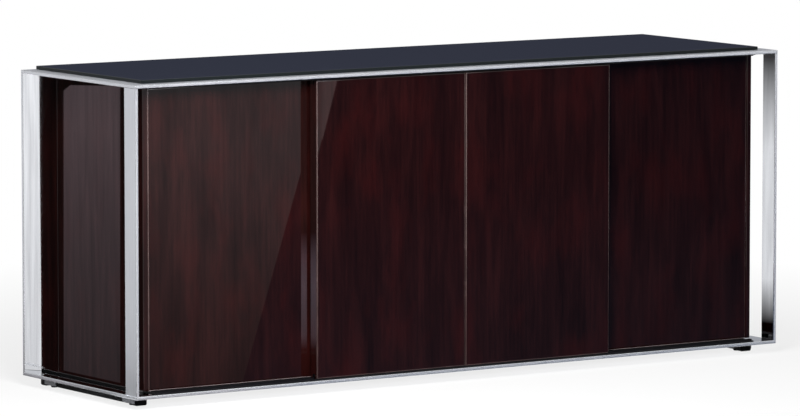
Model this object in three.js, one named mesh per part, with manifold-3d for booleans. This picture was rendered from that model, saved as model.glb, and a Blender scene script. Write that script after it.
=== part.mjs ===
// Office credenza: a flat-bar steel frame that carries a black glass top and a veneered cabinet,
// with four sliding doors in two lanes. Millimetres, +Z up, front towards -Y, floor at Z = 0.

import * as THREE from "three";
import { mergeVertices } from "three/addons/utils/BufferGeometryUtils.js";
import Module from "manifold-3d";

// Frame of polished flat bar
const FRAME_WIDTH = 1800;
const FRAME_DEPTH = 510;
const FRAME_HEIGHT = 710;
const BAR_THICKNESS = 8;
const PLATE_WIDTH = 80;
const FRONT_POST_WIDTH = 48;
const REAR_POST_WIDTH = 60;

// Runners with their end caps, brackets and glides, which the frame stands on
const RUNNER_WIDTH = 30;
const RUNNER_HEIGHT = 19;
const RUNNER_END_INSET = 32;
const RUNNER_FRONT_SETBACK = 55;
const RUNNER_REAR_SETBACK = 25;
const CAP_LENGTH = 20;
const CAP_FLOOR_GAP = 2;
const BRACKET_LENGTH = 50;
const BRACKET_THICKNESS = 3;
const BRACKET_LEG = 20;
const BRACKET_CLEARANCE = 2;
const BRACKET_FRONT_INSET = 5;
const BRACKET_REAR_INSET = 25;
const GLIDE_DIAMETER = 16;
const GLIDE_HEIGHT = 5;
const GLIDE_EDGE = 1;
const GLIDE_INSET = 40;
const GLIDE_SIDES = 20;

// Glass top
const GLASS_THICKNESS = 8;
const GLASS_END_INSET = 36;
const GLASS_FRONT_SETBACK = 30;
const GLASS_REAR_SETBACK = 6;

// Cabinet body
const BODY_END_INSET = 46;
const SIDE_THICKNESS = 12;
const SIDE_LAP = 4;
const BOARD_THICKNESS = 16;
const BACK_THICKNESS = 6;
const PARTITION_THICKNESS = 16;
const SHADOW_GAP = 4;
const SPACER_MARGIN = 2;

// Shelves and the cleats under them
const SHELF_THICKNESS = 18;
const SHELF_HEIGHT = 330;
const SHELF_CLEARANCE = 1;
const SHELF_SETBACK = 20;
const CLEAT_SIZE = 12;
const CLEAT_SETBACK = 30;

// Sliding doors: the inner pair runs in the front lane, the outer pair in the rear lane
const DOOR_THICKNESS = 28;
const DOOR_FRONT_SETBACK = 10;
const DOOR_LANE_GAP = 7;
const DOOR_BOTTOM_GAP = 3;
const DOOR_TOP_GAP = 5;
const DOOR_SIDE_GAP = 1;
const DOOR_MEETING_GAP = 2;
const INNER_DOOR_WIDTH = 410;
const DOOR_OVERLAP = 25;
const DOOR_EASE = 3;
const DOOR_BACK_CLEARANCE = 4;

// Tracks, and the shoes and guides that run in them
const TRACK_BASE = 2;
const TRACK_MARGIN = 2;
const RIB_WIDTH = 3;
const RIB_HEIGHT = 3;
const SHOE_WIDTH = 10;
const SHOE_DEPTH = 10;
const GUIDE_WIDTH = 4;
const GUIDE_DEPTH = 10;
const FIN_THICKNESS = 2;
const RUN_CLEARANCE = 0.5;
const FIT_CLEARANCE = 0.25;
const STOP_LENGTH = 4;

// Levels
const frameBottom = GLIDE_HEIGHT + RUNNER_HEIGHT;
const railTop = frameBottom + BAR_THICKNESS;
const frameTop = frameBottom + FRAME_HEIGHT;
const railUnderside = frameTop - BAR_THICKNESS;
const glassTop = frameTop + GLASS_THICKNESS;
const bodyBottom = railTop + SHADOW_GAP;
const bodyTop = railUnderside - SHADOW_GAP;
const doorBottom = railTop + DOOR_BOTTOM_GAP;
const doorTop = railUnderside - DOOR_TOP_GAP;
const trackTop = railTop + TRACK_BASE;
const trackUnderside = railUnderside - TRACK_BASE;
const ribTop = trackTop + RIB_HEIGHT;
const shoeBottom = trackTop + RUN_CLEARANCE;
const guideTop = trackUnderside - RUN_CLEARANCE;
const finBottom = doorTop + RUN_CLEARANCE;

// Places along X, measured out from the middle to one end
const frameEnd = FRAME_WIDTH / 2;
const postInside = frameEnd - BAR_THICKNESS;
const plateInside = frameEnd - PLATE_WIDTH;
const bodyEnd = frameEnd - BODY_END_INSET;
const bodyInside = bodyEnd - SIDE_THICKNESS;
const partitionFace = PARTITION_THICKNESS / 2;
const innerDoorNear = DOOR_MEETING_GAP / 2;
const innerDoorFar = innerDoorNear + INNER_DOOR_WIDTH;
const outerDoorNear = innerDoorFar - DOOR_OVERLAP;
const outerDoorFar = bodyInside - DOOR_SIDE_GAP;
const trackEnd = bodyInside - RUN_CLEARANCE;

// Places along Y, front to back
const frameFront = -FRAME_DEPTH / 2;
const frameRear = FRAME_DEPTH / 2;
const frontPostRear = frameFront + FRONT_POST_WIDTH;
const frontRailRear = frameFront + PLATE_WIDTH;
const rearRailFront = frameRear - PLATE_WIDTH;
const bodyRear = frameRear - BAR_THICKNESS;
const sideFront = frontPostRear - SIDE_LAP;
const frontLane = frameFront + DOOR_FRONT_SETBACK + DOOR_THICKNESS / 2;
const rearLane = frontLane + DOOR_THICKNESS + DOOR_LANE_GAP;
const boardFront = rearLane + DOOR_THICKNESS / 2 + DOOR_BACK_CLEARANCE;
const backFront = bodyRear - BACK_THICKNESS;
const trackFront = frontLane - DOOR_THICKNESS / 2 + TRACK_MARGIN;
const trackRear = rearLane + DOOR_THICKNESS / 2 - TRACK_MARGIN;
const runnerFront = frameFront + RUNNER_FRONT_SETBACK;
const runnerRear = frameRear - RUNNER_REAR_SETBACK;

const LEFT = { name: "left", sign: -1 };
const RIGHT = { name: "right", sign: 1 };

const FINISHES = {
  polishedSteel: { color: 0xd8d9dc, roughness: 0.18, metalness: 1 },
  blackGlass: { color: 0x23252d, roughness: 0.05, metalness: 0 },
  glossVeneer: { color: 0x36191c, roughness: 0.12, metalness: 0 },
  innerBoard: { color: 0x2c2124, roughness: 0.5, metalness: 0 },
  blackTrack: { color: 0x17181a, roughness: 0.4, metalness: 0.6 },
  blackRunner: { color: 0x101113, roughness: 0.45, metalness: 0.2 },
  nylon: { color: 0x1b1b1c, roughness: 0.6, metalness: 0 },
};

// Faces that are meant to touch are put on one fine grid, so that they land on the same value.
const GRID_STEPS_PER_MM = 64;

function onGrid(value) {
  return Math.round(value * GRID_STEPS_PER_MM) / GRID_STEPS_PER_MM;
}

// Turns that carry a geometry's own axes onto the object's axes
const X_AXIS = new THREE.Vector3(1, 0, 0);
const Y_AXIS = new THREE.Vector3(0, 1, 0);
const Z_AXIS = new THREE.Vector3(0, 0, 1);
const profileAlongX = new THREE.Matrix4().makeBasis(Y_AXIS, Z_AXIS, X_AXIS);
const profileAlongY = new THREE.Matrix4().makeBasis(X_AXIS, Z_AXIS, Y_AXIS.clone().negate());
const roundAboutZ = profileAlongY;

const credenza = new THREE.Group();

function addPiece(name, finish, geometry, x = 0, y = 0, z = 0) {
  const piece = new THREE.Mesh(geometry, new THREE.MeshStandardMaterial(FINISHES[finish]));
  piece.name = name;
  piece.position.set(x, y, z);
  credenza.add(piece);
  return piece;
}

// The X range between two distances from the middle, on the given side
function spanX(side, near, far) {
  return side.sign < 0 ? [-far, -near] : [near, far];
}

// A box from its ranges along X, Y and Z
function boxGeometry(xRange, yRange, zRange) {
  const ranges = [xRange, yRange, zRange].map((range) => range.map(onGrid));
  const sizes = ranges.map(([low, high]) => high - low);
  const centres = ranges.map(([low, high]) => (low + high) / 2);
  return { geometry: new THREE.BoxGeometry(...sizes), centres };
}

function addBox(name, finish, xRange, yRange, zRange) {
  const { geometry, centres } = boxGeometry(xRange, yRange, zRange);
  return addPiece(name, finish, geometry, ...centres);
}

// A profile of [y, z] points run along X, or of [x, z] points run along Y
function extrudedProfile(points, length) {
  const shape = new THREE.Shape(points.map(([a, b]) => new THREE.Vector2(onGrid(a), onGrid(b))));
  return new THREE.ExtrudeGeometry(shape, { depth: onGrid(length), bevelEnabled: false });
}

function runAlongX(points, [low, high]) {
  const geometry = extrudedProfile(points, onGrid(high) - onGrid(low));
  return geometry.applyMatrix4(profileAlongX).translate(onGrid(low), 0, 0);
}

function runAlongY(points, [low, high]) {
  const geometry = extrudedProfile(points, onGrid(high) - onGrid(low));
  return geometry.applyMatrix4(profileAlongY).translate(0, onGrid(high), 0);
}

// Joining of closed geometries into one solid
const solidKernel = await Module();
solidKernel.setup();

function toSolid(geometry) {
  const bare = geometry.clone();
  bare.deleteAttribute("normal");
  bare.deleteAttribute("uv");
  const merged = mergeVertices(bare);
  const vertProperties = new Float32Array(merged.getAttribute("position").array);
  const triVerts = new Uint32Array(merged.index.array);
  return new solidKernel.Manifold(new solidKernel.Mesh({ numProp: 3, vertProperties, triVerts }));
}

function joined(geometries) {
  const mesh = geometries.map(toSolid).reduce((whole, next) => whole.add(next)).getMesh();
  const geometry = new THREE.BufferGeometry();
  geometry.setAttribute("position", new THREE.BufferAttribute(mesh.vertProperties, 3));
  geometry.setIndex(new THREE.BufferAttribute(mesh.triVerts, 1));
  geometry.computeVertexNormals();
  return geometry;
}

// Frame: a front loop of two rails and two posts, end plates, rear posts and rear rails

function addFrontLoop() {
  const across = [-frameEnd, frameEnd];
  const railDeep = [frameFront, frontRailRear];
  addBox("front_bottom_rail", "polishedSteel", across, railDeep, [frameBottom, railTop]);
  addBox("front_top_rail", "polishedSteel", across, railDeep, [railUnderside, frameTop]);
  const postDeep = [frameFront, frontPostRear];
  for (const side of [LEFT, RIGHT]) {
    const thin = spanX(side, postInside, frameEnd);
    addBox(`front_${side.name}_post`, "polishedSteel", thin, postDeep, [railTop, railUnderside]);
  }
}

function addEnds() {
  const deep = [frontRailRear, frameRear];
  for (const side of [LEFT, RIGHT]) {
    const wide = spanX(side, plateInside, frameEnd);
    addBox(`${side.name}_bottom_plate`, "polishedSteel", wide, deep, [frameBottom, railTop]);
    addBox(`${side.name}_top_plate`, "polishedSteel", wide, deep, [railUnderside, frameTop]);
    const postWide = spanX(side, frameEnd - REAR_POST_WIDTH, frameEnd);
    const postDeep = [bodyRear, frameRear];
    addBox(`rear_${side.name}_post`, "polishedSteel", postWide, postDeep, [railTop, railUnderside]);
  }
}

function addRearRails() {
  const across = [-plateInside, plateInside];
  const deep = [rearRailFront, frameRear];
  addBox("rear_bottom_rail", "polishedSteel", across, deep, [frameBottom, railTop]);
  addBox("rear_top_rail", "polishedSteel", across, deep, [railUnderside, frameTop]);
}

// Feet: a black runner with end caps under each end, steel angle brackets and round glides

function addRunners() {
  const far = frameEnd - RUNNER_END_INSET;
  const near = far - RUNNER_WIDTH;
  for (const side of [LEFT, RIGHT]) {
    const wide = spanX(side, near, far);
    const deep = [runnerFront + CAP_LENGTH, runnerRear - CAP_LENGTH];
    addBox(`${side.name}_runner`, "blackRunner", wide, deep, [GLIDE_HEIGHT, frameBottom]);
    const ends = [
      { name: "front", edge: runnerFront, inward: 1, bracketInset: BRACKET_FRONT_INSET },
      { name: "rear", edge: runnerRear, inward: -1, bracketInset: BRACKET_REAR_INSET },
    ];
    for (const end of ends) {
      addCap(side, end, wide);
      addBracket(side, end, far);
      addGlide(side, end, (near + far) / 2);
    }
  }
}

// The range along Y that starts at a distance in from the end of the runner and has the given length
function spanFromEnd(end, inset, length) {
  const start = end.edge + end.inward * inset;
  const stop = start + end.inward * length;
  return [Math.min(start, stop), Math.max(start, stop)];
}

function addCap(side, end, wide) {
  const deep = spanFromEnd(end, 0, CAP_LENGTH);
  addBox(`${side.name}_${end.name}_cap`, "blackRunner", wide, deep, [CAP_FLOOR_GAP, frameBottom]);
}

// An angle between the runner's outer face and the underside of the end plate
function addBracket(side, end, runnerFace) {
  const legOutside = runnerFace + BRACKET_THICKNESS;
  const footOutside = runnerFace + BRACKET_LEG;
  const dropBottom = GLIDE_HEIGHT + BRACKET_CLEARANCE;
  const footBottom = frameBottom - BRACKET_THICKNESS;
  const outline = [
    [runnerFace, dropBottom],
    [legOutside, dropBottom],
    [legOutside, footBottom],
    [footOutside, footBottom],
    [footOutside, frameBottom],
    [runnerFace, frameBottom],
  ].map(([x, z]) => [side.sign * x, z]);
  const along = spanFromEnd(end, end.bracketInset, BRACKET_LENGTH);
  addPiece(`${side.name}_${end.name}_bracket`, "polishedSteel", runAlongY(outline, along));
}

function addGlide(side, end, runnerMiddle) {
  const radius = GLIDE_DIAMETER / 2;
  const profile = [
    [0, 0],
    [radius - GLIDE_EDGE, 0],
    [radius, GLIDE_EDGE],
    [radius, GLIDE_HEIGHT],
    [0, GLIDE_HEIGHT],
  ].map(([r, z]) => new THREE.Vector2(onGrid(r), onGrid(z)));
  const geometry = new THREE.LatheGeometry(profile, GLIDE_SIDES).applyMatrix4(roundAboutZ);
  const y = end.edge + end.inward * GLIDE_INSET;
  addPiece(`${side.name}_${end.name}_glide`, "nylon", geometry, side.sign * runnerMiddle, y, 0);
}

// Glass top, laid on the frame's upper ring

function addGlassTop() {
  const across = [-(frameEnd - GLASS_END_INSET), frameEnd - GLASS_END_INSET];
  const deep = [frameFront + GLASS_FRONT_SETBACK, frameRear - GLASS_REAR_SETBACK];
  addBox("glass_top", "blackGlass", across, deep, [frameTop, glassTop]);
}

// Cabinet body, held between the end plates by spacer strips

function addSides() {
  for (const side of [LEFT, RIGHT]) {
    const thick = spanX(side, bodyInside, bodyEnd);
    addBox(`${side.name}_side_panel`, "glossVeneer", thick, [sideFront, bodyRear], [bodyBottom, bodyTop]);
    const strip = spanX(side, bodyInside + SPACER_MARGIN, bodyEnd - SPACER_MARGIN);
    const stripFront = Math.max(trackRear, frontRailRear) + SPACER_MARGIN;
    const stripDeep = [stripFront, bodyRear - SPACER_MARGIN];
    addBox(`${side.name}_bottom_spacer`, "nylon", strip, stripDeep, [railTop, bodyBottom]);
    addBox(`${side.name}_top_spacer`, "nylon", strip, stripDeep, [bodyTop, railUnderside]);
  }
}

function addBoards() {
  const across = [-bodyInside, bodyInside];
  const deep = [boardFront, backFront];
  const innerBottom = bodyBottom + BOARD_THICKNESS;
  const innerTop = bodyTop - BOARD_THICKNESS;
  addBox("body_bottom", "innerBoard", across, deep, [bodyBottom, innerBottom]);
  addBox("body_top", "innerBoard", across, deep, [innerTop, bodyTop]);
  addBox("back_panel", "innerBoard", across, [backFront, bodyRear], [bodyBottom, bodyTop]);
  addBox("centre_partition", "innerBoard", [-partitionFace, partitionFace], deep, [innerBottom, innerTop]);
  addShelves(innerBottom);
}

function addShelves(innerBottom) {
  const shelfBottom = innerBottom + SHELF_HEIGHT;
  const cleatHigh = [shelfBottom - CLEAT_SIZE, shelfBottom];
  const cleatDeep = [boardFront + CLEAT_SETBACK, backFront - CLEAT_SETBACK];
  for (const side of [LEFT, RIGHT]) {
    const wide = spanX(side, partitionFace + SHELF_CLEARANCE, bodyInside - SHELF_CLEARANCE);
    const deep = [boardFront + SHELF_SETBACK, backFront - SHELF_CLEARANCE];
    addBox(`${side.name}_shelf`, "innerBoard", wide, deep, [shelfBottom, shelfBottom + SHELF_THICKNESS]);
    const outerCleat = spanX(side, bodyInside - CLEAT_SIZE, bodyInside);
    addBox(`${side.name}_outer_cleat`, "blackTrack", outerCleat, cleatDeep, cleatHigh);
    const innerCleat = spanX(side, partitionFace, partitionFace + CLEAT_SIZE);
    addBox(`${side.name}_inner_cleat`, "blackTrack", innerCleat, cleatDeep, cleatHigh);
  }
}

// Sliding doors

function addDoor(name, lane, across) {
  const front = lane - DOOR_THICKNESS / 2;
  const rear = lane + DOOR_THICKNESS / 2;
  const shoeHalf = SHOE_WIDTH / 2 + FIT_CLEARANCE;
  const guideHalf = GUIDE_WIDTH / 2 + FIT_CLEARANCE;
  const shoeTop = doorBottom + SHOE_DEPTH;
  const guideBottom = doorTop - GUIDE_DEPTH;
  const panel = [
    [front, doorBottom + DOOR_EASE],
    [front + DOOR_EASE, doorBottom],
    [lane - shoeHalf, doorBottom],
    [lane - shoeHalf, shoeTop],
    [lane + shoeHalf, shoeTop],
    [lane + shoeHalf, doorBottom],
    [rear, doorBottom],
    [rear, doorTop],
    [lane + guideHalf, doorTop],
    [lane + guideHalf, guideBottom],
    [lane - guideHalf, guideBottom],
    [lane - guideHalf, doorTop],
    [front + DOOR_EASE, doorTop],
    [front, doorTop - DOOR_EASE],
  ];
  addPiece(name, "glossVeneer", runAlongX(panel, across));
  addShoe(`${name}_shoe`, lane, across, shoeTop);
  const guideDeep = [lane - GUIDE_WIDTH / 2, lane + GUIDE_WIDTH / 2];
  addBox(`${name}_guide`, "nylon", across, guideDeep, [guideBottom, guideTop]);
}

// The shoe fills the groove under the door and straddles the rib of the lower track
function addShoe(name, lane, across, shoeTop) {
  const half = SHOE_WIDTH / 2;
  const slotHalf = RIB_WIDTH / 2 + RUN_CLEARANCE;
  const outline = [
    [lane - half, shoeBottom],
    [lane - slotHalf, shoeBottom],
    [lane - slotHalf, ribTop],
    [lane + slotHalf, ribTop],
    [lane + slotHalf, shoeBottom],
    [lane + half, shoeBottom],
    [lane + half, shoeTop],
    [lane - half, shoeTop],
  ];
  addPiece(name, "nylon", runAlongX(outline, across));
}

function addDoors() {
  for (const side of [LEFT, RIGHT]) {
    addDoor(`${side.name}_inner_door`, frontLane, spanX(side, innerDoorNear, innerDoorFar));
    addDoor(`${side.name}_outer_door`, rearLane, spanX(side, outerDoorNear, outerDoorFar));
  }
}

// Tracks: a lower one with a rib in each lane, an upper one with a pair of fins over each lane

function addLowerTrack() {
  const ribHalf = RIB_WIDTH / 2;
  const outline = [
    [trackFront, railTop],
    [trackRear, railTop],
    [trackRear, trackTop],
    [rearLane + ribHalf, trackTop],
    [rearLane + ribHalf, ribTop],
    [rearLane - ribHalf, ribTop],
    [rearLane - ribHalf, trackTop],
    [frontLane + ribHalf, trackTop],
    [frontLane + ribHalf, ribTop],
    [frontLane - ribHalf, ribTop],
    [frontLane - ribHalf, trackTop],
    [trackFront, trackTop],
  ];
  const rail = runAlongX(outline, [-trackEnd, trackEnd]);
  const endStopNear = trackEnd - STOP_LENGTH;
  const stops = [
    stopGeometry(rearLane, [-STOP_LENGTH / 2, STOP_LENGTH / 2]),
    stopGeometry(frontLane, spanX(LEFT, endStopNear, trackEnd)),
    stopGeometry(frontLane, spanX(RIGHT, endStopNear, trackEnd)),
  ];
  addPiece("lower_track", "blackTrack", joined([rail, ...stops]));
}

// A block across a lane that the shoe runs up against
function stopGeometry(lane, across) {
  const deep = [lane - SHOE_WIDTH / 2, lane + SHOE_WIDTH / 2];
  const { geometry, centres } = boxGeometry(across, deep, [railTop, ribTop]);
  return geometry.translate(...centres);
}

function addUpperTrack() {
  const channelHalf = GUIDE_WIDTH / 2 + RUN_CLEARANCE;
  const outline = [[trackFront, railUnderside], [trackFront, trackUnderside]];
  for (const lane of [frontLane, rearLane]) {
    for (const face of [lane - channelHalf - FIN_THICKNESS, lane + channelHalf]) {
      outline.push([face, trackUnderside], [face, finBottom]);
      outline.push([face + FIN_THICKNESS, finBottom], [face + FIN_THICKNESS, trackUnderside]);
    }
  }
  outline.push([trackRear, trackUnderside], [trackRear, railUnderside]);
  addPiece("upper_track", "blackTrack", runAlongX(outline, [-trackEnd, trackEnd]));
}

addFrontLoop();
addEnds();
addRearRails();
addRunners();
addGlassTop();
addSides();
addBoards();
addLowerTrack();
addUpperTrack();
addDoors();

export default credenza;
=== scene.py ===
"""Office credenza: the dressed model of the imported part, laid out as an add-on.

Lengths are in metres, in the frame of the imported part: +Z up, front towards -Y, floor at Z = 0.
"""

import math

import bmesh
import bpy
from bpy.props import FloatProperty, FloatVectorProperty, PointerProperty
from mathutils import Matrix, Vector


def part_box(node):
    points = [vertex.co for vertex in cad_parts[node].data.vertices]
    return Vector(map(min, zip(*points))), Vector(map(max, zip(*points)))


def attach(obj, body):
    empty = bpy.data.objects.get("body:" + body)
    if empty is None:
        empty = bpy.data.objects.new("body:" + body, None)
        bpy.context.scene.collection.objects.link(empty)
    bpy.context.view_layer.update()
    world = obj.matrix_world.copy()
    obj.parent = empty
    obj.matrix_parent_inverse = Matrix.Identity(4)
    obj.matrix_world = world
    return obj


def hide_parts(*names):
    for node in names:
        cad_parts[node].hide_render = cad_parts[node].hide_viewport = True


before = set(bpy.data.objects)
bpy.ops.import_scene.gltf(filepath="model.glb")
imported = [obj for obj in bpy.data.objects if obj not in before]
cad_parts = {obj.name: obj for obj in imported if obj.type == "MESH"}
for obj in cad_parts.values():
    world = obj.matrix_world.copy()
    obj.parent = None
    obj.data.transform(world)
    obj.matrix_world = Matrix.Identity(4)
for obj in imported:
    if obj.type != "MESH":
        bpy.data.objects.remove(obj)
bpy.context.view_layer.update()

bl_info = {
    "name": "Office Credenza",
    "version": (1, 0, 0),
    "blender": (4, 5, 0),
    "location": "3D View > Sidebar > Credenza",
    "description": "Dresses the credenza's frame, glass top, cabinet and sliding doors",
    "category": "Object",
}

MM = 0.001
X, Y, Z = range(3)
ENDS = ("left", "right")
PLACES = ("front", "rear")
DOORS = ("left_outer_door", "left_inner_door", "right_inner_door", "right_outer_door")
WHITE = (1.0, 1.0, 1.0, 1.0)

# Faces that meet at a wider angle than this keep a sharp edge between them.
SHARP_ANGLE = math.radians(60)
# Places that are nearer to each other than this count as one.
SNAP = MM / 10
# Limits for the parts of a face's unit normal.
SLANTING_BELOW = 0.99
LEVEL_ABOVE = 0.5
UPRIGHT_BELOW = 0.1


def linear(hex_colour):
    """Linear red, green and blue of an sRGB colour written as #rrggbb."""
    channels = [int(hex_colour[i : i + 2], 16) / 255 for i in (1, 3, 5)]
    return tuple(c / 12.92 if c <= 0.04045 else ((c + 0.055) / 1.055) ** 2.4 for c in channels)


def length_property(name, description, millimetres):
    return FloatProperty(
        name=name, description=description, default=millimetres * MM, min=0.0, unit="LENGTH", precision=4
    )


def colour_property(name, description, hex_colour):
    return FloatVectorProperty(
        name=name, description=description, default=linear(hex_colour), min=0.0, max=1.0, subtype="COLOR"
    )


class CredenzaSizes(bpy.types.PropertyGroup):
    """Edge radii that dress the plain solids"""

    bar_arris: length_property("Bar arris", "Easing of the steel bars' long edges", 1.2)
    door_rounding: length_property("Door rounding", "Radius of the doors' front edges", 2.5)
    door_back_easing: length_property("Door back easing", "Easing of the doors' rear uprights", 1.0)
    panel_easing: length_property("Panel easing", "Easing of the side panels' edges", 1.5)
    board_easing: length_property("Board easing", "Easing of the edge-banded boards", 0.8)
    glass_corner: length_property("Glass corner", "Radius of the glass top's corners in plan", 4.0)
    glass_arris: length_property("Glass arris", "Polished arris of the glass top", 0.6)
    runner_easing: length_property("Runner easing", "Radius of the runners' tube edges", 1.5)
    cap_rounding: length_property("Cap rounding", "Radius of the runners' end caps", 4.0)
    bracket_bend: length_property("Bracket bend", "Radius inside the bend of the brackets", 1.5)
    groove_clearance: length_property("Groove clearance", "Room beside the shoes and guides", 0.25)


class CredenzaColours(bpy.types.PropertyGroup):
    """Colours of the finishes"""

    steel: colour_property("Steel", "Light tone of the ground steel", "#e3e5ea")
    steel_shade: colour_property("Steel shade", "Dark tone of the ground steel", "#cfd2d9")
    mirror_steel: colour_property("Mirror steel", "Polished faces of the bars", "#d8dade")
    mirror_marks: colour_property("Mirror marks", "Mop marks on the polished faces", "#d2d4d9")
    plating: colour_property("Plating", "Zinc plating of the brackets", "#636468")
    plating_spangle: colour_property("Plating spangle", "Spangle of the zinc plating", "#77787c")
    glass: colour_property("Glass", "Paint behind the glass top", "#16171d")
    glass_dust: colour_property("Glass dust", "Paint seen through dust", "#1b1d24")
    glass_edge: colour_property("Glass edge", "Sealed edge of the glass top", "#0c1112")
    glass_edge_grind: colour_property("Glass edge grind", "Grinding marks on that edge", "#12191a")
    veneer_dark: colour_property("Veneer dark", "Dark grain of the veneer", "#130606")
    veneer_middle: colour_property("Veneer middle", "Ground colour of the veneer", "#200b0a")
    veneer_light: colour_property("Veneer light", "Light grain of the veneer", "#2e110f")
    veneer_red: colour_property("Veneer red", "Red patches of the veneer", "#370f0d")
    # Painted highlights on the doors' front arrises
    arris: colour_property("Arris", "Thin lacquer on the doors' front edges", "#3d2c2b")
    arris_highlight_pale: colour_property("Arris pale", "Thinnest lacquer on those edges", "#574442")
    # Brighter painted highlight on the outer doors' lower arris
    bottom_edge_highlight: colour_property("Lower arris", "Bare lower edges of the outer doors", "#857a7c")
    bottom_edge_highlight_pale: colour_property("Lower arris pale", "Palest wood on those edges", "#a39799")
    board: colour_property("Board", "Face of the inner boards", "#2c2124")
    board_grain: colour_property("Board grain", "Printed grain of the inner boards", "#3a2c2e")
    track: colour_property("Track", "Anodised tracks and cleats", "#0b0b0e")
    track_lines: colour_property("Track lines", "Die lines of the tracks and cleats", "#121216")
    runner: colour_property("Runner", "Powder coat of the runners", "#060607")
    runner_peel: colour_property("Runner peel", "Raised spots of the powder coat", "#0a0a0c")
    nylon: colour_property("Nylon", "Glides, shoes, guides and spacers", "#070708")
    nylon_spark: colour_property("Nylon spark", "Raised spots of the nylon", "#0c0c0e")
    floor: colour_property("Floor", "Paper that the part stands on", "#f7f7f7")


def sizes():
    return bpy.context.scene.credenza_sizes


def colour(name):
    return (*getattr(bpy.context.scene.credenza_colours, name), 1.0)


# Nodes that the materials share

def add_node(tree, kind, inputs=None, stops=None, **settings):
    """Add a node, set its properties and colour stops, then link or set its inputs."""
    node = tree.nodes.new(kind)
    for name, value in settings.items():
        setattr(node, name, value)
    for index, (position, shade) in enumerate(stops or ()):
        elements = node.color_ramp.elements
        element = elements[index] if index < 2 else elements.new(position)
        element.position = position
        element.color = shade
    for name, value in (inputs or {}).items():
        if isinstance(value, bpy.types.NodeSocket):
            tree.links.new(value, node.inputs[name])
        else:
            node.inputs[name].default_value = value
    return node


def material(name, build):
    """The material of that name, built on its first use. build(tree) gives its surface socket."""
    made = bpy.data.materials.get(name)
    if made is None:
        made = bpy.data.materials.new(name)
        made.use_nodes = True
        made.node_tree.nodes.clear()
        surface = build(made.node_tree)
        add_node(made.node_tree, "ShaderNodeOutputMaterial", {"Surface": surface})
    return made


def stretched_noise(tree, size, detail=2.0, roughness=0.5, distortion=0.0, offset=(0.0, 0.0, 0.0)):
    """Noise whose blotches have the given size along X, Y and Z, in metres."""
    place = add_node(tree, "ShaderNodeTexCoord").outputs["Object"]
    scaled = add_node(
        tree,
        "ShaderNodeMapping",
        {"Vector": place, "Location": offset, "Scale": tuple(1 / length for length in size)},
    )
    inputs = {
        "Vector": scaled.outputs["Vector"],
        "Scale": 1.0,
        "Detail": detail,
        "Roughness": roughness,
        "Distortion": distortion,
    }
    return add_node(tree, "ShaderNodeTexNoise", inputs).outputs["Fac"]


def even_noise(tree, size, detail=2.0):
    """Noise whose blotches have one size in every direction, in metres."""
    return stretched_noise(tree, [size] * 3, detail)


def between(tree, value, low, high, start=0.3, stop=0.7):
    """The value stretched from the range start to stop onto the range low to high."""
    inputs = {"Value": value, "From Min": start, "From Max": stop, "To Min": low, "To Max": high}
    return add_node(tree, "ShaderNodeMapRange", inputs).outputs["Result"]


def blend(tree, value, first, second, start=0.3, stop=0.7, most=1.0):
    """The first colour where the value is at start, with a share of up to most of the second at stop."""
    share = between(tree, value, 0.0, most, start, stop)
    # Inputs 6 and 7 and output 2 are the node's colours.
    return add_node(tree, "ShaderNodeMix", {0: share, 6: first, 7: second}, data_type="RGBA").outputs[2]


def bumps(tree, height, strength, depth):
    inputs = {"Height": height, "Strength": strength, "Distance": depth}
    return add_node(tree, "ShaderNodeBump", inputs).outputs["Normal"]


def surface_of(tree, inputs):
    return add_node(tree, "ShaderNodeBsdfPrincipled", inputs).outputs["BSDF"]


def mix_surfaces(tree, share, first, second):
    return add_node(tree, "ShaderNodeMixShader", {0: share, 1: first, 2: second}).outputs["Shader"]


def distance_from_middle(tree):
    """Distance from the middle of the floor, in metres."""
    place = add_node(tree, "ShaderNodeTexCoord").outputs["Object"]
    return add_node(tree, "ShaderNodeVectorMath", {0: place}, operation="LENGTH").outputs["Value"]


# Materials

# Stainless flat bar, ground along its length and polished: hairline scratches that run with the bar
# spread its reflections across it. The scratches are really about 0.05 mm wide and are drawn at 0.6 mm.
def ground_steel(axis):
    def build(tree):
        scratch = [0.6 * MM] * 3
        scratch[axis] = 90 * MM
        cloud = [25 * MM] * 3
        cloud[axis] = 300 * MM
        fine = stretched_noise(tree, scratch, detail=3.0)
        broad = stretched_noise(tree, cloud)
        return surface_of(
            tree,
            {
                "Base Color": blend(tree, fine, colour("steel_shade"), colour("steel")),
                "Metallic": 1.0,
                "Roughness": between(tree, broad, 0.42, 0.5),
                "Normal": bumps(tree, fine, strength=0.12, depth=0.1 * MM),
            },
        )

    return material("ground_stainless_steel_" + "xyz"[axis], build)


# Pressed steel angle, zinc plated and passivated: dull grey, with a cloudy spangle of about 6 mm.
def plated_steel():
    def build(tree):
        spangle = even_noise(tree, 6 * MM, detail=3.0)
        return surface_of(
            tree,
            {
                "Base Color": blend(tree, spangle, colour("plating"), colour("plating_spangle")),
                "Metallic": 1.0,
                "Roughness": between(tree, spangle, 0.4, 0.52),
            },
        )

    return material("zinc_plated_steel", build)


# The bar's steel with its broad face mopped to a mirror: faint upright mop marks, about 3 mm apart,
# dull the mirror here and there.
def mirror_steel():
    def build(tree):
        marks = stretched_noise(tree, (3 * MM, 3 * MM, 240 * MM), detail=3.0)
        return surface_of(
            tree,
            {
                "Base Color": blend(tree, marks, colour("mirror_steel"), colour("mirror_marks")),
                "Metallic": 1.0,
                "Roughness": between(tree, marks, 0.003, 0.008),
            },
        )

    return material("mirror_polished_stainless_steel", build)


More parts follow.
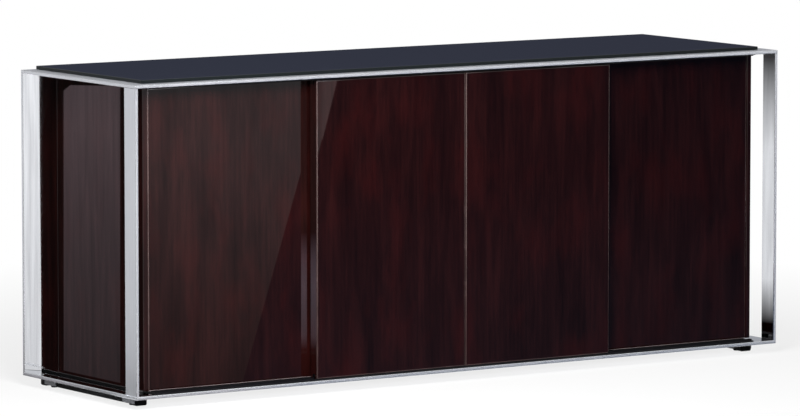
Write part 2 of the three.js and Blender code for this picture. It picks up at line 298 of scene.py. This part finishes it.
# Float glass painted black behind: a mirror-smooth face with the faint waves of drawn glass, about
# 120 mm apart, over a blue-black ground that a little dust greys.
def painted_glass():
    def build(tree):
        wave = stretched_noise(tree, (120 * MM, 60 * MM, 60 * MM))
        dust = even_noise(tree, 9 * MM, detail=4.0)
        return surface_of(
            tree,
            {
                "Base Color": blend(tree, dust, colour("glass"), colour("glass_dust")),
                "Roughness": between(tree, dust, 0.015, 0.045),
                "IOR": 1.52,
                "Normal": bumps(tree, wave, strength=0.02, depth=0.5 * MM),
            },
        )

    return material("black_painted_float_glass", build)


# The sheet's ground edge, sealed black: dull, with a green cast from the thickness of the glass.
def sealed_glass_edge():
    def build(tree):
        grind = even_noise(tree, 1.5 * MM, detail=3.0)
        return surface_of(
            tree,
            {
                "Base Color": blend(tree, grind, colour("glass_edge"), colour("glass_edge_grind")),
                "Roughness": between(tree, grind, 0.4, 0.5),
                "IOR": 1.52,
                "Specular IOR Level": 0.15,
            },
        )

    return material("black_sealed_glass_edge", build)


# Dark red-brown veneer under polished clear lacquer: soft upright bands of about 40 mm, faint streaks of
# 6 to 9 mm and red patches of 70 mm. The lacquer has sunk a little into the grain, so its mirror-like
# shine carries the streaks too. The pores are really 0.3 mm wide and are drawn at 2 mm.
def lacquered_veneer():
    def build(tree):
        bands = stretched_noise(
            tree, (45 * MM, 26 * MM, 300 * MM), detail=3.0, roughness=0.6, distortion=0.4
        )
        streaks = stretched_noise(tree, (6 * MM, 9 * MM, 180 * MM), detail=3.0, roughness=0.55)
        patches = stretched_noise(tree, (70 * MM, 70 * MM, 170 * MM), detail=3.0, offset=(2.0, 9.0, 4.0))
        pores = stretched_noise(tree, (2 * MM, 2 * MM, 40 * MM), detail=2.0, offset=(7.0, 3.0, 5.0))
        # Inputs 2 and 3 and output 0 are the node's numbers.
        grain = add_node(
            tree, "ShaderNodeMix", {0: 0.35, 2: bands, 3: streaks}, data_type="FLOAT"
        ).outputs[0]
        ground = add_node(
            tree,
            "ShaderNodeValToRGB",
            {"Fac": grain},
            stops=[
                (0.3, colour("veneer_dark")),
                (0.7, colour("veneer_light")),
                (0.5, colour("veneer_middle")),
            ],
        ).outputs["Color"]
        flushed = blend(tree, patches, ground, colour("veneer_red"), start=0.48, stop=0.72, most=0.5)
        tone = blend(tree, pores, flushed, colour("veneer_dark"), start=0.58, stop=0.72, most=0.45)
        return surface_of(
            tree,
            {
                "Base Color": tone,
                "Roughness": between(tree, streaks, 0.38, 0.5),
                "Specular IOR Level": 0.0,
                "Coat Weight": between(tree, grain, 0.78, 1.0, start=0.36, stop=0.62),
                "Coat Roughness": 0.01,
                "Coat IOR": 1.5,
            },
        )

    return material("lacquered_dark_veneer", build)


def uneven_arris(name, tone, pale_tone, smoothest, roughest):
    """A thin painted highlight along an edge, whose tone and shine vary over about 60 mm."""

    def build(tree):
        highlight_unevenness = even_noise(tree, 60 * MM, detail=3.0)
        return surface_of(
            tree,
            {
                "Base Color": blend(tree, highlight_unevenness, colour(tone), colour(pale_tone)),
                "Roughness": between(tree, highlight_unevenness, smoothest, roughest),
                "IOR": 1.5,
            },
        )

    return material(name, build)


# Painted highlight: the doors' upright front arrises, and the inner doors' lower ones, get a colour paler
# than the face, in place of the light that they catch.
def painted_highlight_arris():
    return uneven_arris("painted_highlight_arris", "arris", "arris_highlight_pale", 0.2, 0.3)


# Brighter painted highlight on the outer doors' lower arris, in place of the light that it mirrors from the
# rail below: a dull, pale grey-brown line.
def painted_highlight_lower_edge():
    return uneven_arris("painted_highlight_lower_edge", "bottom_edge_highlight", "bottom_edge_highlight_pale", 0.3, 0.4)


# Melamine-faced chipboard: a printed brown face with a fine pebble that breaks up its gloss.
def melamine_board():
    def build(tree):
        print_grain = stretched_noise(tree, (6 * MM, 6 * MM, 160 * MM), detail=3.0)
        pebble = even_noise(tree, 1.2 * MM)
        return surface_of(
            tree,
            {
                "Base Color": blend(tree, print_grain, colour("board"), colour("board_grain")),
                "Roughness": between(tree, pebble, 0.42, 0.56),
                "IOR": 1.5,
                "Normal": bumps(tree, pebble, strength=0.15, depth=0.1 * MM),
            },
        )

    return material("melamine_faced_board", build)


# Extruded aluminium, anodised black: die lines along the profile show through the matt film.
def anodised_aluminium():
    def build(tree):
        die_lines = stretched_noise(tree, (200 * MM, 0.5 * MM, 0.5 * MM), detail=2.0)
        return surface_of(
            tree,
            {
                "Base Color": blend(tree, die_lines, colour("track"), colour("track_lines")),
                "Roughness": between(tree, die_lines, 0.36, 0.46),
                "Specular IOR Level": 0.15,
                "Normal": bumps(tree, die_lines, strength=0.1, depth=0.1 * MM),
            },
        )

    return material("black_anodised_aluminium", build)


# Powder coat on steel: a low orange peel about 2 mm across.
def powder_coat():
    def build(tree):
        peel = even_noise(tree, 2 * MM, detail=1.0)
        return surface_of(
            tree,
            {
                "Base Color": blend(tree, peel, colour("runner"), colour("runner_peel")),
                "Roughness": between(tree, peel, 0.4, 0.5),
                "IOR": 1.5,
                "Specular IOR Level": 0.03,
                "Normal": bumps(tree, peel, strength=0.2, depth=0.2 * MM),
            },
        )

    return material("black_powder_coat", build)


# Moulded nylon: a fine spark-eroded texture, about 0.4 mm, drawn at 1 mm, that keeps it matt.
def moulded_nylon():
    def build(tree):
        spark = even_noise(tree, 1 * MM, detail=3.0)
        return surface_of(
            tree,
            {
                "Base Color": blend(tree, spark, colour("nylon"), colour("nylon_spark")),
                "Roughness": between(tree, spark, 0.5, 0.62),
                "IOR": 1.53,
                "Specular IOR Level": 0.03,
                "Normal": bumps(tree, spark, strength=0.15, depth=0.1 * MM),
            },
        )

    return material("moulded_black_nylon", build)


# Shapes

def cad_box(node):
    low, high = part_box(node)
    return Vector(low), Vector(high)


def face_side(face):
    """The side that an upright or level face looks to, such as "+x"."""
    axis = max(range(3), key=lambda i: abs(face.normal[i]))
    return ("+" if face.normal[axis] > 0 else "-") + "xyz"[axis]


def is_slanting(face):
    """Whether a face looks along no axis, as only the faces of rounded edges do."""
    return max(abs(part) for part in face.normal) < SLANTING_BELOW


def edge_run(edge, axis):
    start, end = edge.verts
    return abs(start.co[axis] - end.co[axis])


def lies_at(edge, axis, level):
    return all(abs(vert.co[axis] - level) < SNAP for vert in edge.verts)


def plain_box(low, high):
    bm = bmesh.new()
    place = Matrix.Translation((low + high) / 2) @ Matrix.Diagonal((*(high - low), 1.0))
    bmesh.ops.create_cube(bm, size=1.0, matrix=place)
    bm.normal_update()
    return bm


def round_edges(bm, edges, radius, segments):
    bmesh.ops.bevel(
        bm,
        geom=edges,
        offset=radius,
        offset_type="OFFSET",
        affect="EDGES",
        segments=segments,
        profile=0.5,
        material=-1,
        clamp_overlap=True,
    )


def eased_box(low, high, radius, segments=2, joints=()):
    """A box whose edges are rounded, apart from those of the faces that meet another piece."""
    bm = plain_box(low, high)
    free = [edge for edge in bm.edges if not any(face_side(face) in joints for face in edge.link_faces)]
    round_edges(bm, free, radius, segments)
    return bm


def run_profile(points, move):
    """A flat outline, given by its corners, pulled out into a bar."""
    bm = bmesh.new()
    outline = bm.faces.new([bm.verts.new(point) for point in points])
    pulled = bmesh.ops.extrude_face_region(bm, geom=[outline])
    moved = [part for part in pulled["geom"] if isinstance(part, bmesh.types.BMVert)]
    bmesh.ops.translate(bm, verts=moved, vec=move)
    bmesh.ops.recalc_face_normals(bm, faces=bm.faces[:])
    return bm


def add_piece(bm, name, body, slot, finish, *nodes):
    """Turn a bmesh into a piece that stands for CAD nodes and rides on a body."""
    bmesh.ops.recalc_face_normals(bm, faces=bm.faces[:])
    for face in bm.faces:
        face.smooth = True
    for edge in bm.edges:
        edge.smooth = edge.calc_face_angle(0.0) < SHARP_ANGLE
    mesh = bpy.data.meshes.new(name)
    bm.to_mesh(mesh)
    bm.free()
    mesh.materials.append(finish)
    piece = bpy.data.objects.new(name, mesh)
    bpy.context.scene.collection.objects.link(piece)
    normals = piece.modifiers.new("flat_face_normals", "WEIGHTED_NORMAL")
    normals.weight = 100
    normals.keep_sharp = True
    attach(piece, body)
    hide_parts(*nodes)
    return piece


def dress_node(node, finish):
    """Give a CAD node that keeps its shape its finish."""
    mesh_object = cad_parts[node]
    if not mesh_object.material_slots:
        mesh_object.data.materials.append(finish)
    for material_slot in mesh_object.material_slots:
        material_slot.material = finish


# Operators, one for each group of like pieces

class CREDENZA_OT_steel_frame(bpy.types.Operator):
    """Flat bars of the frame, with eased long edges and tight joints"""

    bl_idname = "credenza.steel_frame"
    bl_label = "Steel Frame"

    def add_bar(self, node, axis, joints, inner_side):
        """A bar that is ground, but for its arrises and the broad face that looks into the frame."""
        bm = eased_box(*cad_box(node), sizes().bar_arris, joints=joints)
        bm.normal_update()
        inner_faces = [face for face in bm.faces if face_side(face) == inner_side]
        broad_face = max(inner_faces, key=lambda face: face.calc_area())
        for face in bm.faces:
            face.material_index = int(face == broad_face or is_slanting(face))
        bar = add_piece(bm, node + "_bar", "cabinet", "polished_steel", ground_steel(axis), node)
        bar.data.materials.append(mirror_steel())

    def execute(self, context):
        for level, inner_side in (("bottom", "+z"), ("top", "-z")):
            self.add_bar(f"front_{level}_rail", X, ("+y",), inner_side)
            self.add_bar(f"rear_{level}_rail", X, ("-x", "+x"), inner_side)
            for end in ENDS:
                self.add_bar(f"{end}_{level}_plate", Y, ("-y",), inner_side)
        for end, inner_side in (("left", "+x"), ("right", "-x")):
            self.add_bar(f"front_{end}_post", Z, ("-z", "+z"), inner_side)
            self.add_bar(f"rear_{end}_post", Z, ("-z", "+z"), "-y")
        return {"FINISHED"}


class CREDENZA_OT_feet(bpy.types.Operator):
    """Runners with their end caps, angle brackets and glides"""

    bl_idname = "credenza.feet"
    bl_label = "Feet"

    glide_steps = 32
    glide_sole_radius = 1.5 * MM
    bracket_thickness = 3 * MM

    def add_runner(self, end):
        node = f"{end}_runner"
        low, high = cad_box(node)
        bm = eased_box(low, high, sizes().runner_easing, joints=("-y", "+y", "+z"))
        add_piece(bm, node + "_bar", "cabinet", "black_runner", powder_coat(), node)

    def add_cap(self, end, place):
        node = f"{end}_{place}_cap"
        low, high = cad_box(node)
        inner_face = "+y" if place == "front" else "-y"
        bm = eased_box(low, high, sizes().cap_rounding, segments=4, joints=(inner_face, "+z"))
        add_piece(bm, node + "_moulding", "cabinet", "black_runner", powder_coat(), node)

    def add_bracket(self, end, place):
        """An angle whose upright leg lies on the runner and whose foot lies under the end plate."""
        node = f"{end}_{place}_bracket"
        low, high = cad_box(node)
        near, far = (high.x, low.x) if end == "left" else (low.x, high.x)
        outward = -1 if end == "left" else 1
        leg = near + outward * self.bracket_thickness
        foot = high.z - self.bracket_thickness
        outline = [
            (near, low.z),
            (leg, low.z),
            (leg, foot),
            (far, foot),
            (far, high.z),
            (near, high.z),
        ]
        bm = run_profile([(x, low.y, z) for x, z in outline], (0.0, high.y - low.y, 0.0))
        bend = [edge for edge in bm.edges if lies_at(edge, X, leg) and lies_at(edge, Z, foot)]
        round_edges(bm, bend, sizes().bracket_bend, segments=3)
        add_piece(bm, node + "_angle", "cabinet", "polished_steel", plated_steel(), node)

    def add_glide(self, end, place):
        """A turned foot with a rounded sole."""
        node = f"{end}_{place}_glide"
        low, high = cad_box(node)
        centre = (low + high) / 2
        radius = (high.x - low.x) / 2
        rise = self.glide_sole_radius
        arc = [math.radians(step) for step in (0, 30, 60, 90)]
        rim = [(radius - rise + rise * math.sin(a), low.z + rise - rise * math.cos(a)) for a in arc]
        profile = [(0.0, low.z), *rim, (radius, high.z), (0.0, high.z)]
        bm = bmesh.new()
        verts = [bm.verts.new((centre.x + r, centre.y, z)) for r, z in profile]
        edges = [bm.edges.new(pair) for pair in zip(verts, verts[1:])]
        bmesh.ops.spin(
            bm,
            geom=verts + edges,
            cent=centre,
            axis=(0.0, 0.0, 1.0),
            angle=2 * math.pi,
            steps=self.glide_steps,
            use_merge=True,
        )
        bmesh.ops.remove_doubles(bm, verts=bm.verts[:], dist=MM / 100)
        add_piece(bm, node + "_foot", "cabinet", "black_nylon", moulded_nylon(), node)

    def execute(self, context):
        for end in ENDS:
            self.add_runner(end)
            for place in PLACES:
                self.add_cap(end, place)
                self.add_bracket(end, place)
                self.add_glide(end, place)
        return {"FINISHED"}


class CREDENZA_OT_glass_top(bpy.types.Operator):
    """Sheet of painted glass with rounded corners and a polished arris"""

    bl_idname = "credenza.glass_top"
    bl_label = "Glass Top"

    def execute(self, context):
        low, high = cad_box("glass_top")
        bm = plain_box(low, high)
        corners = [edge for edge in bm.edges if edge_run(edge, Z) > MM]
        round_edges(bm, corners, sizes().glass_corner, segments=6)
        bm.normal_update()
        rims = [
            edge
            for edge in bm.edges
            if sum(abs(face.normal.z) > LEVEL_ABOVE for face in edge.link_faces) == 1
        ]
        round_edges(bm, rims, sizes().glass_arris, segments=3)
        bm.normal_update()
        for face in bm.faces:
            face.material_index = int(abs(face.normal.z) < UPRIGHT_BELOW)
        sheet = add_piece(bm, "glass_top_sheet", "cabinet", "black_glass", painted_glass(), "glass_top")
        sheet.data.materials.append(sealed_glass_edge())
        return {"FINISHED"}


class CREDENZA_OT_cabinet(bpy.types.Operator):
    """Side panels, inner boards and shelves of the cabinet"""

    bl_idname = "credenza.cabinet"
    bl_label = "Cabinet"

    boards = ("body_bottom", "body_top", "back_panel", "centre_partition", "left_shelf", "right_shelf")

    def execute(self, context):
        for end in ENDS:
            node = f"{end}_side_panel"
            bm = eased_box(*cad_box(node), sizes().panel_easing, segments=3)
            add_piece(bm, node + "_slab", "cabinet", "gloss_veneer", lacquered_veneer(), node)
        for node in self.boards:
            bm = eased_box(*cad_box(node), sizes().board_easing)
            add_piece(bm, node + "_board", "cabinet", "inner_board", melamine_board(), node)
        return {"FINISHED"}


class CREDENZA_OT_running_gear(bpy.types.Operator):
    """Tracks, shoes, guides, spacers and cleats, which keep their solids"""

    bl_idname = "credenza.running_gear"
    bl_label = "Running Gear"

    def execute(self, context):
        for node in ("lower_track", "upper_track"):
            dress_node(node, anodised_aluminium())
        for end in ENDS:
            for cleat in ("outer_cleat", "inner_cleat"):
                dress_node(f"{end}_{cleat}", anodised_aluminium())
            for spacer in ("bottom_spacer", "top_spacer"):
                dress_node(f"{end}_{spacer}", moulded_nylon())
        for door in DOORS:
            for slider in ("shoe", "guide"):
                dress_node(f"{door}_{slider}", moulded_nylon())
        return {"FINISHED"}


class CREDENZA_OT_sliding_doors(bpy.types.Operator):
    """Four door slabs with rounded front edges, grooved for their shoes and guides"""

    bl_idname = "credenza.sliding_doors"
    bl_label = "Sliding Doors"

    def add_door(self, door):
        low, high = cad_box(door)
        shoe_low, shoe_high = cad_box(door + "_shoe")
        guide_low, guide_high = cad_box(door + "_guide")
        room = sizes().groove_clearance
        outline = [
            (low.y, low.z),
            (shoe_low.y - room, low.z),
            (shoe_low.y - room, shoe_high.z),
            (shoe_high.y + room, shoe_high.z),
            (shoe_high.y + room, low.z),
            (high.y, low.z),
            (high.y, high.z),
            (guide_high.y + room, high.z),
            (guide_high.y + room, guide_low.z),
            (guide_low.y - room, guide_low.z),
            (guide_low.y - room, high.z),
            (low.y, high.z),
        ]
        bm = run_profile([(low.x, y, z) for y, z in outline], (high.x - low.x, 0.0, 0.0))
        front = [edge for edge in bm.edges if lies_at(edge, Y, low.y)]
        round_edges(bm, front, sizes().door_rounding, segments=5)
        rear = [edge for edge in bm.edges if lies_at(edge, Y, high.y) and edge_run(edge, X) < SNAP]
        round_edges(bm, rear, sizes().door_back_easing, segments=2)
        bm.normal_update()
        for face in bm.faces:
            if is_slanting(face) and face.normal.y < 0:
                face.material_index = self.arris_material(door, face)
        slab = add_piece(bm, door + "_slab", door, "gloss_veneer", lacquered_veneer(), door)
        slab.data.materials.append(painted_highlight_arris())
        slab.data.materials.append(painted_highlight_lower_edge())

    def arris_material(self, door, face):
        """0 for veneer on the upper arris, 1 for the painted highlight on the other front arrises, 2 for
        the brighter painted highlight on an outer door's lower arris.
        """
        if face.normal.z >= UPRIGHT_BELOW:
            return 0
        if face.normal.z < -UPRIGHT_BELOW and "outer" in door:
            return 2
        return 1

    def execute(self, context):
        for door in DOORS:
            self.add_door(door)
        return {"FINISHED"}


# Stage

def grey(level):
    return (level, level, level)


def even(shade):
    """Stops of a card that has one shade all over."""
    return [(0.0, shade)]


class CREDENZA_OT_stage(bpy.types.Operator):
    """Pale floor, white surroundings, soft lamps, reflection cards and the camera"""

    bl_idname = "credenza.stage"
    bl_label = "Stage"

    image_width = 800
    focal_length_pixels = 5860.9
    camera_place = (-7.6248, -11.4408, 1.8552)
    camera_aim = (-0.0139, 0.0093, 0.3831)
    sensor_width = 36.0
    view_distance = 100.0

    # Level of the white room for everything but the eye and gloss
    ambient = 0.12

    # The floor glows by this share under the part, and wholly from the fade's outer radius on.
    floor_radius = 3.0
    floor_glow = 0.8
    floor_fade = (1.0, 2.4)

    # A ray with a greater gloss depth than this has been reflected twice or more.
    single_reflection = 1.5

    # Heights of the cards on the floor. Where cards overlap, the higher one is seen.
    low_layer = 2 * MM
    middle_layer = 3 * MM
    high_layer = 4 * MM

    # Plan directions that run away from the camera and square to its view, to the right
    view_away = Vector((0.55, 0.83))
    view_right = Vector((0.83, -0.55))

    black = even(grey(0.02))

    def add_camera(self, scene):
        data = bpy.data.cameras.new("photo_camera")
        data.sensor_width = self.sensor_width
        data.sensor_fit = "HORIZONTAL"
        data.lens = self.sensor_width * self.focal_length_pixels / self.image_width
        data.clip_end = self.view_distance
        camera = bpy.data.objects.new("photo_camera", data)
        camera.location = self.camera_place
        aim = Vector(self.camera_aim) - Vector(self.camera_place)
        camera.rotation_euler = aim.to_track_quat("-Z", "Y").to_euler()
        scene.collection.objects.link(camera)
        scene.camera = camera

    def seen_directly(self, tree):
        """1 for a ray from the camera, a gloss reflection or glass, and 0 for one that gathers light."""
        path = add_node(tree, "ShaderNodeLightPath").outputs
        seen = path["Is Camera Ray"]
        for other in ("Is Glossy Ray", "Is Transmission Ray"):
            either = add_node(tree, "ShaderNodeMath", {0: seen, 1: path[other]}, operation="MAXIMUM")
            seen = either.outputs[0]
        return seen

    def white_strength(self, tree):
        """Full white to the eye and to gloss, and the ambient level to everything that gathers light."""
        return between(tree, self.seen_directly(tree), self.ambient, 1.0, start=0.0, stop=1.0)

    def add_surroundings(self, scene):
        world = bpy.data.worlds.new("white_room")
        scene.world = world
        world.use_nodes = True
        tree = world.node_tree
        tree.nodes.clear()
        inputs = {"Color": WHITE, "Strength": self.white_strength(tree)}
        room = add_node(tree, "ShaderNodeBackground", inputs).outputs["Background"]
        add_node(tree, "ShaderNodeOutputWorld", {"Surface": room})

    def add_stage_mesh(self, scene, bm, name, finish):
        mesh = bpy.data.meshes.new(name)
        bm.to_mesh(mesh)
        bm.free()
        mesh.materials.append(finish)
        item = bpy.data.objects.new(name, mesh)
        scene.collection.objects.link(item)
        return item

    def add_floor(self, scene):
        """A pale floor that takes the object's shadow and fades into the white room."""

        def build(tree):
            fade = between(tree, distance_from_middle(tree), self.floor_glow, 1.0, *self.floor_fade)
            paper = add_node(tree, "ShaderNodeBsdfDiffuse", {"Color": colour("floor")}).outputs["BSDF"]
            inputs = {"Color": WHITE, "Strength": self.white_strength(tree)}
            white = add_node(tree, "ShaderNodeEmission", inputs).outputs["Emission"]
            return mix_surfaces(tree, fade, paper, white)

        bm = bmesh.new()
        bmesh.ops.create_circle(bm, cap_ends=True, segments=64, radius=self.floor_radius)
        self.add_stage_mesh(scene, bm, "floor", material("floor_paper", build))

    def add_card(self, scene, name, corners, stops, twice=False, one_sided=False):
        """A card that only gloss reflections see, or only reflections of a reflection if twice is set.

        Each stop gives a distance from the middle of the floor, in metres, and the card's shade there.
        A one-sided card is clear from behind.
        """

        def build(tree):
            distance = distance_from_middle(tree)
            start, shade = stops[0]
            tone = (*shade, 1.0)
            for stop, shade in stops[1:]:
                tone = blend(tree, distance, tone, (*shade, 1.0), start, stop)
                start = stop
            inputs = {"Color": tone, "Strength": 1.0}
            glow = add_node(tree, "ShaderNodeEmission", inputs).outputs["Emission"]
            clear = add_node(tree, "ShaderNodeBsdfTransparent").outputs["BSDF"]
            if twice:
                bounces = add_node(tree, "ShaderNodeLightPath").outputs["Glossy Depth"]
                inputs = {0: bounces, 1: self.single_reflection}
                seen = add_node(tree, "ShaderNodeMath", inputs, operation="GREATER_THAN").outputs[0]
                glow = mix_surfaces(tree, seen, clear, glow)
            if one_sided:
                behind = add_node(tree, "ShaderNodeNewGeometry").outputs["Backfacing"]
                glow = mix_surfaces(tree, behind, glow, clear)
            return glow

        bm = bmesh.new()
        bm.faces.new([bm.verts.new(corner) for corner in corners])
        card = self.add_stage_mesh(scene, bm, name, material(name + "_shade", build))
        card.visible_camera = False
        card.visible_diffuse = False
        card.visible_shadow = False
        card.visible_transmission = False

    def add_floor_card(self, scene, name, height, outline, stops, twice=False):
        self.add_card(scene, name, [(x, y, height) for x, y in outline], stops, twice)

    def add_upright_card(self, scene, name, feet, bottom, top, stops, twice=False):
        corners = [(x, y, bottom) for x, y in feet] + [(x, y, top) for x, y in reversed(feet)]
        self.add_card(scene, name, corners, stops, twice)

    def add_back_card(self, scene, name, distance, left, right, bottom, top, shade):
        """An upright card behind the object, square to the camera's view."""
        feet = [distance * self.view_away + side * self.view_right for side in (left, right)]
        self.add_upright_card(scene, name, feet, bottom, top, even(shade))

    def add_door_cards(self, scene):
        """The floor that the doors mirror: pale to the left of a slanting line, dark to its right."""
        split = [(-0.50, -0.26), (-0.50, -0.36), (-0.33, -0.61), (6.30, -10.35)]
        self.add_floor_card(
            scene,
            "dark_card_front",
            self.low_layer,
            [*split, (9.5, -11.0), (1.3, -0.26)],
            [(0.6, (0.07, 0.09, 0.145)), (5.0, (0.03, 0.04, 0.075))],
        )
        self.add_floor_card(
            scene,
            "light_card_front",
            self.low_layer,
            [*split, (4.0, -11.0), (-1.0, -0.26)],
            [(0.5, (0.20, 0.18, 0.20)), (6.0, (0.55, 0.53, 0.56))],
        )
        # Only the second door mirrors this wedge beside the line.
        self.add_floor_card(
            scene,
            "light_card_second_door",
            self.middle_layer,
            [(2.9, -5.35), (5.257, -9.0), (5.381, -9.0)],
            even((1.0, 0.76, 0.79)),
        )

    def add_strip_cards(self, scene):
        """Strips that are seen by way of two reflections, and the black around them."""
        # The rear left post mirrors the side panel, and in it this strip.
        self.add_floor_card(
            scene,
            "strip_card_front",
            self.high_layer,
            [(-0.93, 0.116), (-7.772, -11.7), (-7.64, -11.79), (-4.67, -6.67), (-0.92, -0.2), (-0.85, 0.0)],
            [(1.0, grey(11.7)), (8.0, grey(14.3))],
            twice=True,
        )
        # The first door mirrors the second door's end, and in it this strip.
        self.add_floor_card(
            scene,
            "strip_card_door",
            self.high_layer,
            [(-0.889, -0.744), (-2.295, -2.931), (-2.093, -3.061), (-0.687, -0.874)],
            [
                (1.13, grey(0.0)),
                (1.4, (11.0, 9.0, 11.0)),
                (2.4, (16.0, 13.5, 16.5)),
                (3.0, (12.0, 10.0, 12.5)),
                (3.7, (1.0, 0.8, 1.0)),
            ],
            twice=True,
        )
        # Post, panel and end plate together throw the view back past the camera: to its white side from the
        # post's foot, and to its black side from the panel's foot.
        self.add_upright_card(
            scene,
            "strip_card_corner",
            [(-7.775, -11.7), (-7.515, -11.85)],
            bottom=1.2,
            top=2.4,
            stops=even(grey(12.4)),
            twice=True,
        )
        self.add_upright_card(
            scene,
            "dark_card_corner",
            [(-7.99, -11.54), (-7.778, -11.69)],
            bottom=1.7,
            top=2.05,
            stops=self.black,
            twice=True,
        )
        self.add_floor_card(
            scene,
            "dark_card_front_left",
            self.middle_layer,
            [(-0.95, -0.19), (-0.93, 0.1), (-3.5, -0.2), (-12.0, -6.0), (-7.65, -11.8)],
            self.black,
        )
        # The right-hand post mirrors the right side panel, and in it this strip.
        self.add_floor_card(
            scene,
            "strip_card_right",
            self.high_layer,
            [(0.95, 0.05), (6.0, 6.8), (6.3, 6.6), (3.4, 2.7), (1.2, -0.05)],
            [(1.15, grey(0.0)), (1.95, grey(17.0)), (5.5, grey(17.0)), (9.0, grey(1.4))],
            twice=True,
        )

    def add_left_cards(self, scene):
        """What the left side panel mirrors: a pale field on a black floor, and two far cards behind it."""
        self.add_floor_card(
            scene,
            "dark_card_left",
            self.low_layer,
            [(-0.90, 0.55), (-0.90, -0.13), (-5.8, 7.3), (-5.6, 9.0)],
            self.black,
        )
        self.add_floor_card(
            scene,
            "light_card_left",
            self.high_layer,
            [(-0.925, 0.268), (-0.925, 0.012), (-5.13, 7.04), (-5.0, 7.18), (-4.86, 6.99)],
            [(0.8, (0.22, 0.19, 0.21)), (7.0, (0.72, 0.55, 0.61))],
        )
        feet = [(-7.55, 6.43), (-3.25, 8.98)]
        self.add_upright_card(scene, "shade_card_left", feet, bottom=0.0, top=1.0, stops=even(grey(1.0)))
        self.add_upright_card(scene, "dark_card_high_left", feet, bottom=1.0, top=2.2, stops=self.black)

    def add_steel_cards(self, scene):
        """A glow in front, which the ground steel spreads out, and a slip at the rear left post's foot."""
        feet = [(2.5, -9.0), (12.0, -9.0)]
        glow = [(9.4, grey(12.0)), (10.6, grey(0.1))]
        self.add_upright_card(scene, "glow_card_front", feet, bottom=0.02, top=1.0, stops=glow)
        self.add_upright_card(scene, "dark_card_high_front", feet, bottom=1.0, top=1.8, stops=self.black)
        self.add_card(
            scene,
            "white_slip_left",
            [
                (-0.8545, 0.2465, 0.0325),
                (-0.88, 0.2035, 0.0325),
                (-0.88, 0.2035, 0.045),
                (-0.8545, 0.2465, 0.0388),
            ],
            even(grey(0.92)),
            one_sided=True,
        )

    def add_back_cards(self, scene):
        """What the glass top mirrors."""
        self.add_back_card(
            scene,
            "dark_card_back",
            distance=2.95,
            left=-1.5,
            right=1.02,
            bottom=0.80,
            top=1.25,
            shade=(0.045, 0.050, 0.075),
        )
        self.add_back_card(
            scene,
            "shade_card_back",
            distance=2.95,
            left=-2.6,
            right=2.6,
            bottom=1.25,
            top=3.6,
            shade=(0.2, 0.2, 0.21),
        )
        self.add_back_card(
            scene,
            "grey_card_back",
            distance=10.5,
            left=-3.0,
            right=3.0,
            bottom=0.3,
            top=1.8,
            shade=(0.4, 0.41, 0.44),
        )

    def add_lamp(self, scene, name, place, aim, size, watts):
        """A soft lamp that no gloss face mirrors."""
        data = bpy.data.lights.new(name, "AREA")
        data.shape = "RECTANGLE"
        data.size, data.size_y = size
        data.energy = watts
        lamp = bpy.data.objects.new(name, data)
        lamp.location = place
        lamp.rotation_euler = (Vector(aim) - Vector(place)).to_track_quat("-Z", "Y").to_euler()
        scene.collection.objects.link(lamp)
        lamp.visible_glossy = False

    def add_lamps(self, scene):
        self.add_lamp(
            scene,
            "overhead_softbox",
            place=(-1.0, -0.8, 3.2),
            aim=(-0.6, 0.0, 0.0),
            size=(3.0, 2.0),
            watts=40.0,
        )
        self.add_lamp(
            scene,
            "front_softbox",
            place=(-1.3, -1.7, 1.6),
            aim=(-0.3, -0.2, 0.35),
            size=(1.0, 0.8),
            watts=62.0,
        )

    def execute(self, context):
        scene = context.scene
        scene.view_settings.view_transform = "Standard"
        self.add_camera(scene)
        self.add_surroundings(scene)
        self.add_floor(scene)
        self.add_door_cards(scene)
        self.add_strip_cards(scene)
        self.add_left_cards(scene)
        self.add_steel_cards(scene)
        self.add_back_cards(scene)
        self.add_lamps(scene)
        return {"FINISHED"}


class CREDENZA_PT_panel(bpy.types.Panel):
    """Lists the credenza's sizes, colours and pieces"""

    bl_idname = "CREDENZA_PT_panel"
    bl_label = "Credenza"
    bl_space_type = "VIEW_3D"
    bl_region_type = "UI"
    bl_category = "Credenza"

    def draw(self, context):
        for group in (context.scene.credenza_sizes, context.scene.credenza_colours):
            column = self.layout.column(align=True)
            for name in group.__annotations__:
                column.prop(group, name)
        for operator in OPERATORS:
            self.layout.operator(operator.bl_idname)


OPERATORS = (
    CREDENZA_OT_stage,
    CREDENZA_OT_steel_frame,
    CREDENZA_OT_feet,
    CREDENZA_OT_glass_top,
    CREDENZA_OT_cabinet,
    CREDENZA_OT_running_gear,
    CREDENZA_OT_sliding_doors,
)
CLASSES = (CredenzaSizes, CredenzaColours, *OPERATORS, CREDENZA_PT_panel)


def register():
    for cls in CLASSES:
        bpy.utils.register_class(cls)
    bpy.types.Scene.credenza_sizes = PointerProperty(type=CredenzaSizes)
    bpy.types.Scene.credenza_colours = PointerProperty(type=CredenzaColours)


def unregister():
    del bpy.types.Scene.credenza_colours
    del bpy.types.Scene.credenza_sizes
    for cls in reversed(CLASSES):
        bpy.utils.unregister_class(cls)


def main():
    register()
    bpy.ops.credenza.stage()
    bpy.ops.credenza.steel_frame()
    bpy.ops.credenza.feet()
    bpy.ops.credenza.glass_top()
    bpy.ops.credenza.cabinet()
    bpy.ops.credenza.running_gear()
    bpy.ops.credenza.sliding_doors()


if __name__ == "__main__":
    main()
